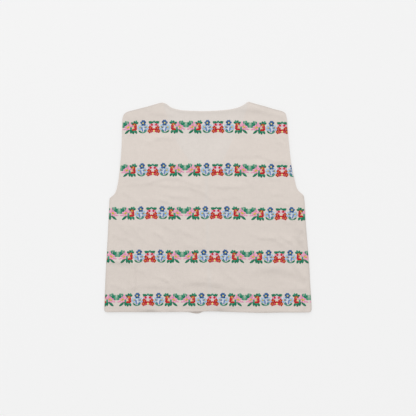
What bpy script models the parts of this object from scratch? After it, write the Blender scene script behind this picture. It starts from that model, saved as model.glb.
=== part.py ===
"""Child's embroidered waistcoat, laid flat on a table with its back upwards.

The back lies on top. The two fronts lie under it, edge to edge at the middle, and leave a V below
the back neck, where the back sinks to the table. Every panel is a wall of cloth with its edges
turned in. X runs to the wearer's right, Y from the hem to the neck and Z up. The origin is on the
table, below the middle of the garment.
"""

import math
from collections import namedtuple

import bmesh
import bpy
import numpy as np

MM = 0.001

# Cloth and seams, in millimetres
CLOTH_THICKNESS = 1.8
SEAM_GAP = 0.35
EDGE_ROUNDING = 0.5
FRONT_EDGE_GAP = 0.4
FRONT_INSET = 0.8

# How the back lies on the fronts, in millimetres
PUFF_HEIGHT = 0.9
PUFF_REACH = 24.0
TABLE_CLEARANCE = 0.25
V_SLOPE_REACH = 24.0
V_SIDE_LEAN = 0.87

# A fold fades out past its ends over this many of its half widths
FOLD_FADE = 1.5

# Edges sharper than this are rounded, in degrees
SHARP_ANGLE = 60.0

# Rows and columns of each panel's net, closer together near the corners
BACK_SIDE_ROWS = 24
BACK_ARMHOLE_ROWS = 22
BACK_SHOULDER_COLUMNS = 9
BACK_NECK_COLUMNS = 22
FRONT_SIDE_ROWS = 15
FRONT_ARMHOLE_ROWS = 16
FRONT_COLUMNS = 14
END_CROWDING = 0.55
V_NECK_STATIONS = 60

# Where each edge of the cut goes, in millimetres: x from the garment's middle, up from the hem.
Point = namedtuple("Point", "x up")

SIDE_LEFT = (
    Point(-185.4, 1.4),
    Point(-186.9, 6.0),
    Point(-186.0, 30.0),
    Point(-183.6, 84.0),
    Point(-180.4, 141.0),
    Point(-178.6, 190.0),
    Point(-177.1, 204.2),
)
SIDE_RIGHT = (
    Point(185.8, 0.9),
    Point(187.3, 6.0),
    Point(186.9, 30.0),
    Point(183.4, 84.0),
    Point(178.6, 141.0),
    Point(175.8, 197.0),
    Point(173.7, 209.3),
)
ARMHOLE_LEFT = (
    Point(-177.1, 204.2),
    Point(-174.0, 207.8),
    Point(-169.0, 211.0),
    Point(-165.2, 216.4),
    Point(-162.2, 226.5),
    Point(-159.8, 240.0),
    Point(-155.9, 299.5),
    Point(-153.9, 350.0),
    Point(-151.4, 357.6),
)
ARMHOLE_RIGHT = (
    Point(173.7, 209.3),
    Point(168.6, 214.6),
    Point(164.2, 219.1),
    Point(160.2, 226.0),
    Point(157.2, 238.3),
    Point(147.2, 299.5),
    Point(142.6, 350.0),
    Point(139.8, 359.8),
)
SHOULDER_LEFT = (
    Point(-151.4, 357.6),
    Point(-147.2, 361.2),
    Point(-106.9, 372.4),
    Point(-85.8, 378.2),
    Point(-82.4, 378.6),
)
NECK = (
    Point(-82.4, 378.6),
    Point(-77.6, 377.0),
    Point(-63.7, 368.8),
    Point(-42.1, 364.2),
    Point(-6.1, 363.2),
    Point(22.7, 364.4),
    Point(46.0, 367.4),
    Point(65.9, 375.8),
    Point(71.4, 379.6),
    Point(74.0, 380.4),
)
SHOULDER_RIGHT = (
    Point(74.0, 380.4),
    Point(78.0, 379.0),
    Point(101.9, 372.4),
    Point(135.4, 363.3),
    Point(139.8, 359.8),
)
HEM = (
    Point(-185.4, 1.4),
    Point(-180.0, 0.2),
    Point(-60.0, 0.0),
    Point(-20.0, 0.9),
    Point(4.7, 1.7),
    Point(44.0, 0.4),
    Point(101.9, -1.2),
    Point(130.7, -0.5),
    Point(180.0, -0.4),
    Point(185.8, 0.9),
)
V_NECK_LEFT = (
    Point(-1.6, 243.7),
    Point(-29.0, 269.5),
    Point(-60.5, 320.6),
    Point(-82.4, 378.6),
)
V_NECK_RIGHT = (
    Point(-1.6, 243.7),
    Point(25.0, 269.5),
    Point(50.6, 320.6),
    Point(74.0, 380.4),
)
FRONT_EDGE = (
    Point(3.8, 8.0),
    Point(3.4, 60.0),
    Point(1.6, 141.0),
    Point(-0.4, 197.0),
    Point(-1.6, 243.7),
)
HEM_FRONT_LEFT = (
    Point(-185.4, 1.4),
    Point(-180.0, 0.6),
    Point(-60.0, 0.4),
    Point(-36.0, -0.4),
    Point(-20.0, -2.4),
    Point(-12.5, -1.4),
    Point(-5.5, 1.6),
    Point(0.8, 4.6),
    Point(3.8, 8.0),
)
HEM_FRONT_RIGHT = (
    Point(3.8, 8.0),
    Point(7.4, 4.6),
    Point(14.0, 2.8),
    Point(60.0, 1.2),
    Point(130.7, 0.6),
    Point(180.0, 0.6),
    Point(185.8, 0.9),
)

# The largest folds of the back, in millimetres: a line, its half width, and its height or depth.
Fold = namedtuple("Fold", "place x up end_x end_up width height")

FOLDS = (
    Fold("below the right neck point", 64, 366, 134, 353, 7, -0.7),
    Fold("below the left shoulder", -96, 360, -66, 357, 6, -0.6),
    Fold("left shoulder blade", -104, 310, -66, 315, 8, -0.7),
    Fold("right shoulder blade", 66, 274, 126, 275, 7, 0.9),
    Fold("below the left armhole", -148, 231, -76, 238, 7, 0.8),
    Fold("left of the middle", -34, 233, 2, 208, 8, -0.8),
    Fold("right of the middle", 14, 226, 54, 221, 7, -0.7),
    Fold("left waist, upper", -124, 152, -76, 118, 8, -0.8),
    Fold("left waist, lower", -156, 155, -128, 137, 8, -0.7),
    Fold("waist, middle", -52, 143, -28, 122, 8, -0.7),
    Fold("waist, right", 82, 134, 158, 122, 8, -0.9),
    Fold("beside the right seam", 160, 161, 166, 128, 6, -0.7),
    Fold("above the hem, left", -106, 78, -74, 54, 7, 0.8),
    Fold("above the hem, middle", -30, 47, 16, 48, 9, -0.9),
    Fold("above the hem, right", 88, 71, 142, 71, 10, -0.8),
    Fold("right seam above the hem", 164, 78, 178, 68, 7, -0.7),
)

# Colours of the cloth, linear
BACK_COLOUR = (0.70, 0.63, 0.57, 1.0)
FRONT_COLOUR = (0.67, 0.60, 0.54, 1.0)
CLOTH_ROUGHNESS = 0.9


def smooth_step(value):
    """Eases from 0 to 1 as the value does."""
    held = np.clip(value, 0.0, 1.0)
    return held * held * (3.0 - 2.0 * held)


def crowded(count):
    """Stations from 0 to 1 that lie closer together near both ends."""
    even = np.linspace(0.0, 1.0, count + 1)
    rounded = 0.5 - 0.5 * np.cos(math.pi * even)
    return (1.0 - END_CROWDING) * even + END_CROWDING * rounded


def slopes_of(along, values):
    """Slopes for a curve through the values that never swings past them."""
    gaps = np.diff(along)
    rises = np.diff(values) / gaps
    slopes = np.zeros(len(values))
    slopes[0] = rises[0]
    slopes[-1] = rises[-1]
    for i in range(1, len(values) - 1):
        before, after = rises[i - 1], rises[i]
        if before * after > 0.0:
            first = 2.0 * gaps[i] + gaps[i - 1]
            second = gaps[i] + 2.0 * gaps[i - 1]
            slopes[i] = (first + second) / (first / before + second / after)
    return slopes


def read_curve(along, values, stations):
    """Reads the smooth curve through the values at the stations."""
    slopes = slopes_of(along, values)
    span = np.clip(np.searchsorted(along, stations) - 1, 0, len(along) - 2)
    gap = along[span + 1] - along[span]
    t = (stations - along[span]) / gap
    return (
        values[span] * (1.0 + 2.0 * t) * (1.0 - t) ** 2
        + slopes[span] * gap * t * (1.0 - t) ** 2
        + values[span + 1] * t * t * (3.0 - 2.0 * t)
        + slopes[span + 1] * gap * t * t * (t - 1.0)
    )


def edge_line(points, stations):
    """The smooth edge through a table's points, read at stations from 0 to 1 along its length."""
    table = np.array(points, dtype=float)
    steps = np.hypot(*np.diff(table, axis=0).T)
    along = np.concatenate([[0.0], np.cumsum(steps)])
    where = np.asarray(stations) * along[-1]
    return np.stack([read_curve(along, table[:, 0], where), read_curve(along, table[:, 1], where)], axis=1)


def joined(*lines):
    """One line from several that share their end points."""
    return np.concatenate([lines[0]] + [line[1:] for line in lines[1:]])


def net_between(bottom, top, left, right):
    """The net of points between four edges: each keeps its share of the way across and up."""
    across = ((top[:, 0] - top[0, 0]) / (top[-1, 0] - top[0, 0]))[None, :, None]
    upward = ((left[:, 1] - left[0, 1]) / (left[-1, 1] - left[0, 1]))[:, None, None]
    ruled_up = (1.0 - upward) * bottom[None] + upward * top[None]
    ruled_across = (1.0 - across) * left[:, None] + across * right[:, None]
    corners = (
        (1.0 - across) * (1.0 - upward) * bottom[0]
        + across * (1.0 - upward) * bottom[-1]
        + (1.0 - across) * upward * top[0]
        + across * upward * top[-1]
    )
    return ruled_up + ruled_across - corners


def at_same_share(points, top):
    """A bottom edge read where each of its points is as far across as the top edge's point."""
    share = (top[:, 0] - top[0, 0]) / (top[-1, 0] - top[0, 0])
    table = np.array(points, dtype=float)
    x = table[0, 0] + share * (table[-1, 0] - table[0, 0])
    return np.stack([x, read_curve(table[:, 0], table[:, 1], x)], axis=1)


def edge_distance(net):
    """How far each point of a net is from the nearest of its four edges."""
    across = np.minimum(
        np.linalg.norm(net - net[:, :1], axis=2),
        np.linalg.norm(net - net[:, -1:], axis=2),
    )
    upward = np.minimum(
        np.linalg.norm(net - net[:1], axis=2),
        np.linalg.norm(net - net[-1:], axis=2),
    )
    return np.minimum(across, upward)


def depth_inside_v(net):
    """How far each point lies inside the V between the two fronts, or less than 0 outside it."""
    stations = np.linspace(0.0, 1.0, V_NECK_STATIONS)
    left = edge_line(V_NECK_LEFT, stations)
    right = edge_line(V_NECK_RIGHT, stations)
    left_x = np.interp(net[..., 1], left[:, 1], left[:, 0])
    right_x = np.interp(net[..., 1], right[:, 1], right[:, 0])
    inside = np.minimum(net[..., 0] - left_x, right_x - net[..., 0]) * V_SIDE_LEAN
    return np.minimum(inside, net[..., 1] - V_NECK_LEFT[0].up)


def fold_heights(net):
    """The folds' heights at each point: soft ridges and troughs that fade out along their lines."""
    total = np.zeros(net.shape[:2])
    for fold in FOLDS:
        start = np.array([fold.x, fold.up], dtype=float)
        run = np.array([fold.end_x, fold.end_up]) - start
        length = np.hypot(*run)
        along = (net - start) @ (run / length)
        across = (net - start) @ np.array([-run[1], run[0]]) / length
        past = np.maximum(np.maximum(-along, along - length), 0.0)
        total += fold.height * np.exp(-((across / fold.width) ** 2) - (past / (FOLD_FADE * fold.width)) ** 2)
    return total


def back_heights(net):
    """The middle of the back's wall: on the fronts, puffed up inside, sunk in the V, with its folds."""
    half_wall = 0.5 * CLOTH_THICKNESS
    on_fronts = CLOTH_THICKNESS + SEAM_GAP + half_wall
    freedom = smooth_step(edge_distance(net) / PUFF_REACH)
    lying = on_fronts + (PUFF_HEIGHT + fold_heights(net)) * freedom
    on_table = TABLE_CLEARANCE + half_wall
    sunk = smooth_step(depth_inside_v(net) / V_SLOPE_REACH)
    return lying + (on_table - lying) * sunk


def front_heights(net):
    """The middle of a front's wall, which lies flat on the table."""
    return np.full(net.shape[:2], 0.5 * CLOTH_THICKNESS)


def drawn_in(net, inner_column):
    """A front made a little smaller than the back over it, and clear of the other front."""
    reach = np.abs(net).reshape(-1, 2).max(axis=0)
    smaller = net * (1.0 - FRONT_INSET / reach)
    inner = smaller[:, inner_column, 0]
    outer = smaller[:, -1 - inner_column, 0]
    share = (smaller[..., 0] - outer[:, None]) / (inner - outer)[:, None]
    smaller[..., 0] += math.copysign(FRONT_EDGE_GAP / 2.0, outer[0]) * share
    return smaller


def cloth_material(name, colour):
    """A plain matt cloth."""
    material = bpy.data.materials.new(name)
    material.use_nodes = True
    shader = material.node_tree.nodes["Principled BSDF"]
    shader.inputs["Base Color"].default_value = colour
    shader.inputs["Roughness"].default_value = CLOTH_ROUGHNESS
    shader.inputs["Metallic"].default_value = 0.0
    return material


def panel(name, net, heights, colour, collection):
    """A panel of cloth: a grid laid on the net, given its thickness and its rounded edges."""
    rows, columns = heights.shape
    body = bmesh.new()
    bmesh.ops.create_grid(body, x_segments=columns - 1, y_segments=rows - 1, size=1.0)
    for vert in body.verts:
        column = round((vert.co.x + 1.0) / 2.0 * (columns - 1))
        row = round((vert.co.y + 1.0) / 2.0 * (rows - 1))
        x, up = net[row, column]
        vert.co = (x * MM, up * MM, heights[row, column] * MM)
    mesh = bpy.data.meshes.new(name)
    body.to_mesh(mesh)
    body.free()
    mesh.shade_smooth()
    mesh.materials.append(cloth_material(name + "_cloth", colour))
    item = bpy.data.objects.new(name, mesh)
    collection.objects.link(item)

    wall = item.modifiers.new("wall", "SOLIDIFY")
    wall.thickness = CLOTH_THICKNESS * MM
    wall.offset = 0.0
    rounding = item.modifiers.new("rounding", "BEVEL")
    rounding.width = EDGE_ROUNDING * MM
    rounding.segments = 2
    rounding.limit_method = "ANGLE"
    rounding.angle_limit = math.radians(SHARP_ANGLE)
    return item


def back_net():
    """The net of the back, between the hem, the sides with their armholes, and the shoulders."""
    sides = crowded(BACK_SIDE_ROWS)
    armholes = crowded(BACK_ARMHOLE_ROWS)
    shoulders = crowded(BACK_SHOULDER_COLUMNS)
    left = joined(edge_line(SIDE_LEFT, sides), edge_line(ARMHOLE_LEFT, armholes))
    right = joined(edge_line(SIDE_RIGHT, sides), edge_line(ARMHOLE_RIGHT, armholes))
    top = joined(
        edge_line(SHOULDER_LEFT, shoulders),
        edge_line(NECK, crowded(BACK_NECK_COLUMNS)),
        edge_line(SHOULDER_RIGHT, shoulders),
    )
    return net_between(at_same_share(HEM, top), top, left, right)


def front_upright(lower, upper):
    """One upright edge of a front: its side and armhole, or its front edge and V neck."""
    return joined(edge_line(lower, crowded(FRONT_SIDE_ROWS)), edge_line(upper, crowded(FRONT_ARMHOLE_ROWS)))


def front_left_net():
    """The net of the left front, whose inner column is its last."""
    top = edge_line(SHOULDER_LEFT, crowded(FRONT_COLUMNS))
    outer = front_upright(SIDE_LEFT, ARMHOLE_LEFT)
    inner = front_upright(FRONT_EDGE, V_NECK_LEFT)
    return drawn_in(net_between(at_same_share(HEM_FRONT_LEFT, top), top, outer, inner), -1)


def front_right_net():
    """The net of the right front, whose inner column is its first."""
    top = edge_line(SHOULDER_RIGHT, crowded(FRONT_COLUMNS))
    outer = front_upright(SIDE_RIGHT, ARMHOLE_RIGHT)
    inner = front_upright(FRONT_EDGE, V_NECK_RIGHT)
    return drawn_in(net_between(at_same_share(HEM_FRONT_RIGHT, top), top, inner, outer), 0)


def move_to_origin(items):
    """Moves the panels together so that the origin lies under the middle of the whole garment."""
    graph = bpy.context.evaluated_depsgraph_get()
    corners = []
    for item in items:
        shaped = item.evaluated_get(graph)
        count = len(shaped.data.vertices)
        flat = np.empty(count * 3)
        shaped.data.vertices.foreach_get("co", flat)
        points = flat.reshape(-1, 3)
        corners += [points.min(axis=0), points.max(axis=0)]
    lowest = np.min(corners, axis=0)
    highest = np.max(corners, axis=0)
    middle = (lowest + highest) / 2.0
    for item in items:
        for vert in item.data.vertices:
            vert.co.x -= middle[0]
            vert.co.y -= middle[1]
            vert.co.z -= lowest[2]


def main():
    for item in list(bpy.data.objects):
        bpy.data.objects.remove(item)
    collection = bpy.data.collections.new("embroidered_waistcoat")
    bpy.context.scene.collection.children.link(collection)

    back = back_net()
    left = front_left_net()
    right = front_right_net()
    move_to_origin(
        [
            panel("back", back, back_heights(back), BACK_COLOUR, collection),
            panel("front_left", left, front_heights(left), FRONT_COLOUR, collection),
            panel("front_right", right, front_heights(right), FRONT_COLOUR, collection),
        ]
    )


main()
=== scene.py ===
import math
from collections import namedtuple

import bpy
import numpy as np
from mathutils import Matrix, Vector, noise
from mathutils.bvhtree import BVHTree


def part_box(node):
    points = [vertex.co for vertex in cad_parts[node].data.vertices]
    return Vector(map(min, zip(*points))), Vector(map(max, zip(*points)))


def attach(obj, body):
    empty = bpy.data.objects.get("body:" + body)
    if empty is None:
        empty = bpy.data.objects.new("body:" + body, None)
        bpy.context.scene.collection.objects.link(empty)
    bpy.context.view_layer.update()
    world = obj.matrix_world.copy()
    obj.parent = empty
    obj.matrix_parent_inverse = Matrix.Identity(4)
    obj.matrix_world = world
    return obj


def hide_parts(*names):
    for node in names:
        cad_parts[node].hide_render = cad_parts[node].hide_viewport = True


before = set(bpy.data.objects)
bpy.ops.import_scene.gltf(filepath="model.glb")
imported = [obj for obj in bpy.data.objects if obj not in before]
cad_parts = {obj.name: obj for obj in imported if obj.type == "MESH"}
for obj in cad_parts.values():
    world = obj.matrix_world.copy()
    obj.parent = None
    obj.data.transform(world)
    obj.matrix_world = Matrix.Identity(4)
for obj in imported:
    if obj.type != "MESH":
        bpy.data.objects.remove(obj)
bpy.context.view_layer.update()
mm = 0.001
print("frame loaded")

# the cut: x from the middle of the garment and up from its hem, in millimetres

cut = {
    "sideLeft": [
        (-185.4, 2.2), (-186.9, 6.6), (-186, 30), (-183.6, 84), (-180.4, 141), (-178.2, 190),
        (-177.2, 206.2),
    ],
    "sideRight": [
        (185.3, 1.9), (187, 6.6), (185.9, 30), (184.1, 58), (182.8, 84), (178.1, 141),
        (176.4, 163), (174.5, 197), (173.2, 209.3),
    ],
    "armholeLeft": [
        (-177.2, 206.2), (-173.9, 209.2), (-169.8, 212.4), (-166.3, 217.8), (-163.4, 227.5),
        (-161, 240), (-158.4, 262), (-155.5, 299.5), (-153.9, 350), (-151.4, 357.6),
    ],
    "armholeRight": [
        (173.2, 209.3), (171.8, 212), (168.8, 215), (164.1, 219), (159.7, 226.2), (156.6, 238.3),
        (149.7, 271.5), (146.6, 299.5), (144.9, 317), (142.2, 350), (139.8, 359.6),
    ],
    "shoulderLeft": [
        (-151.4, 357.6), (-147.2, 361.2), (-130, 366.2), (-106.9, 372.2), (-84.8, 378.4), (-81.4, 378.9),
    ],
    "neck": [
        (-81.4, 378.9), (-77.2, 377.6), (-63.7, 369), (-42.1, 364.8), (-6.1, 363.7), (22.7, 365),
        (46, 367.9), (57.5, 371.3), (65.9, 375.6), (71.4, 379.6), (74, 380.4),
    ],
    "shoulderRight": [
        (74, 380.4), (78, 379), (101.9, 372.3), (118, 367.5), (134.8, 362.8), (139.8, 359.6),
    ],
    "hem": [
        (-185.4, 2.2), (-180, 1.2), (-150, 1.4), (-110, 1.2), (-60, 1.5), (-20, 1.9), (4.7, 2.7),
        (44, 1.5), (101.9, 0), (130.7, 0.6), (180, 0.7), (185.3, 1.9),
    ],
    "veeLeft": [(-2.6, 243.7), (-29, 269.5), (-61, 317), (-75, 357), (-81.4, 378.9)],
    "veeRight": [(-2.6, 243.7), (24, 269.5), (44, 309), (67, 356), (74, 380.4)],
    "frontEdge": [(3.8, 8.4), (2.4, 60), (-0.4, 141), (-1.9, 197), (-2.6, 243.7)],
    "hemFrontLeft": [
        (-185.4, 2.2), (-180, 1.6), (-60, 1.8), (-36, 1), (-20, -1.5), (-15.5, -1.1),
        (-10, 1.4), (-5, 2.9), (0.8, 5.2), (3.8, 8.4),
    ],
    "hemFrontRight": [
        (3.8, 8.4), (7.4, 5.2), (14, 3.8), (60, 2.2), (130.7, 1.4), (180, 1.4), (185.3, 1.9),
    ],
}


mesh = {
    "edgePoints": 500,  # of one table of the cut
    "backStep": 1.9,  # between the points inside a panel, in millimetres
    "frontStep": 2.6,
    "edgeStations": (0.0, 0.15, 0.4, 0.8, 1.4, 2.2, 3.2, 4.2, 4.7, 5.0, 5.3, 5.8, 6.6, 8.0),
}


def slopesOf(along, values):
    # slopes for a curve through the values that never swings past them
    gaps = np.diff(along)
    rises = np.diff(values) / gaps
    slopes = np.zeros(len(values))
    slopes[[0, -1]] = rises[[0, -1]]
    for i in range(1, len(values) - 1):
        before, after = rises[i - 1], rises[i]
        if before * after > 0.0:
            first = 2.0 * gaps[i] + gaps[i - 1]
            second = gaps[i] + 2.0 * gaps[i - 1]
            slopes[i] = (first + second) / (first / before + second / after)
    return slopes


def readCurve(along, values, stations):
    slopes = slopesOf(along, values)
    span = np.clip(np.searchsorted(along, stations) - 1, 0, len(along) - 2)
    gap = along[span + 1] - along[span]
    t = (stations - along[span]) / gap
    return (
        values[span] * (1.0 + 2.0 * t) * (1.0 - t) ** 2
        + slopes[span] * gap * t * (1.0 - t) ** 2
        + values[span + 1] * t * t * (3.0 - 2.0 * t)
        + slopes[span + 1] * gap * t * t * (t - 1.0)
    )


def edge(*names):
    # the smooth edge through one or more tables of the cut, as many close points
    lines = []
    for name in names:
        table = np.array(cut[name], dtype=float)
        steps = np.hypot(*np.diff(table, axis=0).T)
        along = np.concatenate([[0.0], np.cumsum(steps)])
        where = np.linspace(0.0, along[-1], mesh["edgePoints"])
        line = np.stack([readCurve(along, values, where) for values in table.T], axis=1)
        lines.append(line if not lines else line[1:])
    return np.concatenate(lines)


# on each hand, the panels' outer edge and the front's edge at the middle
outerEdges = {hand: edge("side" + hand, "armhole" + hand) for hand in ("Left", "Right")}
innerEdges = {hand: edge("frontEdge", "vee" + hand) for hand in ("Left", "Right")}


def flatArea(*lines):
    # the area inside a loop of edges, in square metres
    loop = np.concatenate(lines)
    x, y = loop[:, 0], loop[:, 1]
    return abs(float(np.sum(x * np.roll(y, -1) - y * np.roll(x, -1)))) / 2.0 * mm * mm


def smoothStep(value):
    held = np.clip(value, 0.0, 1.0)
    return held * held * (3.0 - 2.0 * held)


# nets of points over the panels


def stations(length, step, corners=()):
    # shares of the way across a panel: close together at its edges, and with its corners kept
    near = np.array(mesh["edgeStations"])
    count = round((length - 2.0 * near[-1]) / step)
    inner = np.linspace(near[-1], length - near[-1], count + 1)
    places = np.concatenate([near[:-1], inner, length - near[-2::-1]])
    for corner in corners:
        places[np.argmin(np.abs(places - corner * length))] = corner * length
    return places / length


def readByX(line, shares):
    x = line[0, 0] + shares * (line[-1, 0] - line[0, 0])
    return np.stack([x, np.interp(x, line[:, 0], line[:, 1])], axis=1)


def acrossAt(line, up):
    return np.interp(up, line[:, 1], line[:, 0])


def readByUp(line, shares):
    up = line[0, 1] + shares * (line[-1, 1] - line[0, 1])
    return np.stack([acrossAt(line, up), up], axis=1)


def between(first, last, share):
    return (1.0 - share) * first + share * last


def netBetween(bottom, top, left, right, across, upward):
    # each point keeps its share of the way across and up between the four edges
    bottomLine, topLine = readByX(bottom, across), readByX(top, across)
    leftLine, rightLine = readByUp(left, upward), readByUp(right, upward)
    u = across[None, :, None]
    v = upward[:, None, None]
    ruledUp = between(bottomLine[None], topLine[None], v)
    ruledAcross = between(leftLine[:, None], rightLine[:, None], u)
    corners = between(between(bottomLine[0], bottomLine[-1], u), between(topLine[0], topLine[-1], u), v)
    return ruledUp + ruledAcross - corners


def edgeDistances(net):
    # how far each point is from its row's and its column's ends: left, right, bottom, top
    ends = (net[:, :1], net[:, -1:], net[:1], net[-1:])
    return [np.linalg.norm(net - end, axis=2) for end in ends]


def fromEdge(net):
    return np.min(edgeDistances(net), axis=0)


def seamShare(net, seamSides):
    # 1 beside an edge that is sewn to the other panel, 0 beside a free one, eased between them
    nearness = [1.0 / (distance + wall["seamEase"]) ** 2 for distance in edgeDistances(net)]
    return sum(near * sewn for near, sewn in zip(nearness, seamSides)) / sum(nearness)


def seamEnd(past):
    # a seam stops over a short way: 1 before its end, 0 past it
    ramp = wall["seamEnd"]
    return 1.0 - smoothStep((past + ramp) / (2.0 * ramp))


def roll(net, size, seed):
    # soft waves of cloth, from -1 to 1, about size millimetres long
    out = np.empty(net.shape[:2])
    for index in np.ndindex(out.shape):
        x, up = net[index]
        out[index] = noise.noise(Vector((x / size, up / size, seed)))
    return out


# creases: a ridge or trough along a line, which falls off faster on one of its sides

creases = {
    "boost": 1.7,
    "fade": 1.3,  # how far a crease fades out past its ends, in its own widths
    "wander": 1.8,  # how far its line strays, in millimetres
    "wanderLength": 26.0,
    "clearOfEdge": 9.0,  # how far inside an edge it has its full height
    "upright": 0.05,
}

# the two ends of each, how far it reaches on its neck side and its hem side, and its height
backCreases = [
    # shoulders and neck
    (-140, 352.6, -120, 352.6, 8, 5, 0.4),
    (-94, 360, -66, 358, 9, 4, 0.5),
    (62, 367, 87, 365, 10, 4, 0.5),
    (86, 365, 133, 354, 10, 4, 0.5),
    # between the first and the second band
    (-143, 322, -129, 321, 5, 2.5, 0.25),
    (-124, 313, -104, 305, 7, 4, 0.2),
    (-106, 307, -88, 315, 7, 3, 0.3),
    (-88, 315.5, -68, 314, 8, 3.5, 0.42),
    (120, 320, 130, 307, 5, 2.5, 0.3),
    (130, 307, 138, 302, 5, 2.5, 0.2),
    (129, 321, 138, 313, 5, 2.5, 0.3),
    (125, 306, 137, 297, 5, 2.5, 0.22),
    (55, 322, 75, 321, 8, 4, 0.25),
    (79, 322, 84, 308, 3, 3, 0.15),
    (45, 277, 92, 278, 3, 7, -0.3),
    (92, 278, 112, 272, 4, 4, -0.4),
    (108, 275, 146, 272, 10, 4, 0.5),
    # between the second and the third
    (-146, 240, -108, 245, 6, 3, 0.3),
    (-140, 231.5, -104, 235, 7, 3, 0.34),
    (-104, 235, -80, 241.5, 7, 3, 0.42),
    (-68, 243.5, -54, 242, 6, 3, 0.35),
    (-98, 232, -78, 229.5, 6, 2.5, 0.22),
    (-78, 229.5, -58, 226.5, 6, 3, 0.38),
    (-48, 228, -38, 226, 6, 3, 0.22),
    (-38, 236.5, -17, 229.5, 8, 3, 0.62),
    (-38, 230, -26, 224, 6, 3, 0.22),
    (-26, 224, -12, 217, 8, 3, 0.42),
    (-6, 214.5, 8, 202, 6, 2.5, 0.36),
    (-78, 213, -62, 209.5, 6, 3, 0.32),
    (-62, 209.5, -38, 208.5, 6, 3, 0.4),
    (-100, 208, -78, 201, 7, 3, 0.26),
    (-78, 201, -60, 194, 7, 3, 0.42),
    (-112, 203, -94, 197, 6, 3, 0.32),
    (-148, 215, -126, 198, 6, 3, 0.34),
    (8, 229, 30, 226, 7, 3, 0.26),
    (24, 227.5, 58, 226.5, 8, 3.5, 0.48),
    (46, 209, 60, 207, 5, 3, 0.22),
    (68, 242, 80, 229, 5, 2.5, 0.22),
    (112, 243.5, 126, 241, 6, 3.5, 0.32),
    (120, 213.5, 128, 213, 5, 3, 0.32),
    (62, 199, 100, 196, 6, 3, 0.22),
    (118, 198, 144, 195, 6, 3, 0.26),
    (8, 205, 40, 206, 5, 3, 0.14),
    # between the third and the fourth
    (-154, 157, -146, 148, 5, 4, 0.4),
    (-168, 140, -152, 133.5, 6, 3, 0.36),
    (-146, 146, -138, 128, 5, 3, 0.28),
    (-138, 128, -130, 116, 5, 3, 0.42),
    (-137, 154, -120, 137, 5, 3, 0.3),
    (-142, 158.5, -124, 155, 6, 3, 0.24),
    (-96, 144, -84, 137, 6, 2.5, 0.28),
    (-88, 139.5, -74, 126, 6, 3, 0.42),
    (-116, 134, -100, 120, 5, 3, 0.2),
    (-50, 151, -38, 143, 6, 3, 0.38),
    (-40, 143, -20, 137, 8, 4, 0.34),
    (-84, 160, -60, 146, 6, 3, 0.26),
    (-44, 134, -36, 122, 6, 3, 0.24),
    (-38, 121, -16, 119, 8, 4, 0.38),
    (-14, 133, -6, 118, 4, 4, 0.34),
    (-1, 145, 0, 128, 4, 4, 0.26),
    (78, 143, 96, 136, 7, 3, 0.28),
    (96, 135.5, 116, 133, 8, 3, 0.46),
    (116, 132.5, 132, 126, 7, 3, 0.52),
    (128, 124, 140, 119, 6, 3, 0.28),
    (134, 137, 146, 130, 6, 3, 0.48),
    (146, 130, 157, 119, 6, 3, 0.48),
    (157, 170, 168, 150, 4, 5, 1.5),
    (160, 152, 169, 132, 4, 5, 1.1),
    (158, 138, 172, 122, 5, 4, 0.7),
    (138, 166, 156, 160, 6, 4, 0.4),
    (50, 121, 72, 119, 6, 3, 0.2),
    # between the fourth and the fifth
    (-178, 93.5, -132, 91, 8, 5, 1.15),
    (-134, 86, -122, 75, 5, 3, 0.34),
    (-133, 82, -133, 46, 2.5, 6, 1.1),
    (-130, 49, -96, 49, 9, 4, 0.4),
    (-96, 50, -70, 46, 7, 4, 0.4),
    (-170, 50, -152, 42, 6, 3, 0.38),
    (-120, 78, -112, 68, 4, 3, 0.24),
    (-94, 66, -74, 57, 6, 3, 0.3),
    (-80, 62, -62, 50, 6, 3, 0.42),
    (-66, 48, -52, 43, 5, 3, 0.3),
    (-78, 90, -62, 86, 6, 4, 0.34),
    (-38, 52, -16, 57, 12, 5, 0.45),
    (-22, 57, 16, 54, 12, 6, 0.85),
    (12, 50, 48, 44, 10, 5, 0.5),
    (-14, 68, 6, 63, 8, 4, 0.4),
    (42, 67, 58, 50, 5, 3.5, 0.42),
    (28, 78, 36, 66, 4, 3, 0.2),
    (56, 44, 84, 42, 6, 3, 0.3),
    (86, 77, 118, 81, 10, 7, 0.55),
    (112, 81, 152, 77, 12, 8, 0.75),
    (148, 72, 160, 66, 8, 5, 0.4),
    (156, 90, 172, 66, 7, 6, 1.15),
    (136, 57, 170, 46, 4, 9, 0.34),
    (138, 43, 178, 42, 7, 3.5, 0.42),
    # at the hem
    (-132, 44, -127, 6, 2.5, 5, 0.6),
    (172.5, 18, 171.5, 4, 2.5, 3.4, 0.85),
    (-60, 14, -8, 11, 6, 4, 0.25),
    (20, 12, 70, 15, 6, 4, 0.25),
]


def creaseHeights(net, rows, seed):
    total = np.zeros(net.shape[:2])
    strays = roll(net, creases["wanderLength"], seed) * creases["wander"]
    for x, up, endX, endUp, neckSide, hemSide, height in rows:
        start = np.array([x, up], dtype=float)
        run = np.array([endX, endUp]) - start
        length = np.hypot(*run)
        side = np.array([-run[1], run[0]]) / length
        upright = abs(side[1]) <= creases["upright"]  # its neck side is then the one to the right
        if side[0 if upright else 1] < 0.0:
            side = -side
        along = (net - start) @ (run / length)
        across = (net - start) @ side + strays
        width = np.where(across > 0.0, neckSide, hemSide)
        past = np.maximum(np.maximum(-along, along - length), 0.0)
        reach = creases["fade"] * 0.5 * (neckSide + hemSide)
        total += creases["boost"] * height * np.exp(-((across / width) ** 2) - (past / reach) ** 2)
    return total


# the cloth shells

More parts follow.
